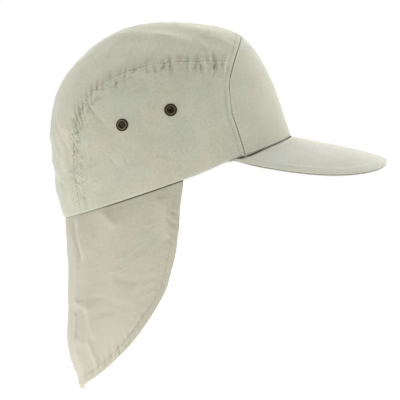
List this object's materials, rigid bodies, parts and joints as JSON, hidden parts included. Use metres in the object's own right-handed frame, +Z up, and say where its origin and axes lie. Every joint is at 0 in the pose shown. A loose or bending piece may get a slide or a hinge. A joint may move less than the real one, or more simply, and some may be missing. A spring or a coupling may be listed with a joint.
{
  "type": "legionnaire cap",
  "caption": "Cloth sun cap with a stiff front panel, curved peak, vent eyelets and a flap that hangs over the neck.",
  "frame": {"origin": "middle of the head opening, whose plane tips 19.3 degrees down towards the back as the cap is worn", "axes": "+X forwards over the peak, +Y towards the wearer's left, +Z up"},
  "size_m": [0.288, 0.1682, 0.3138],
  "materials": {
    "cotton": "light stone cotton, fine plain weave, matt",
    "aged_brass": "darkened antique brass with a worn bright ring"
  },
  "bodies": {
    "root": {"front_panel": "cotton", "top_panel": "cotton", "side_panel_left": "cotton", "side_panel_right": "cotton", "peak": "cotton", "neck_flap": "cotton", "eyelet_left_front": "aged_brass", "eyelet_left_rear": "aged_brass", "eyelet_right_front": "aged_brass", "eyelet_right_rear": "aged_brass"}
  },
  "joints": []
}
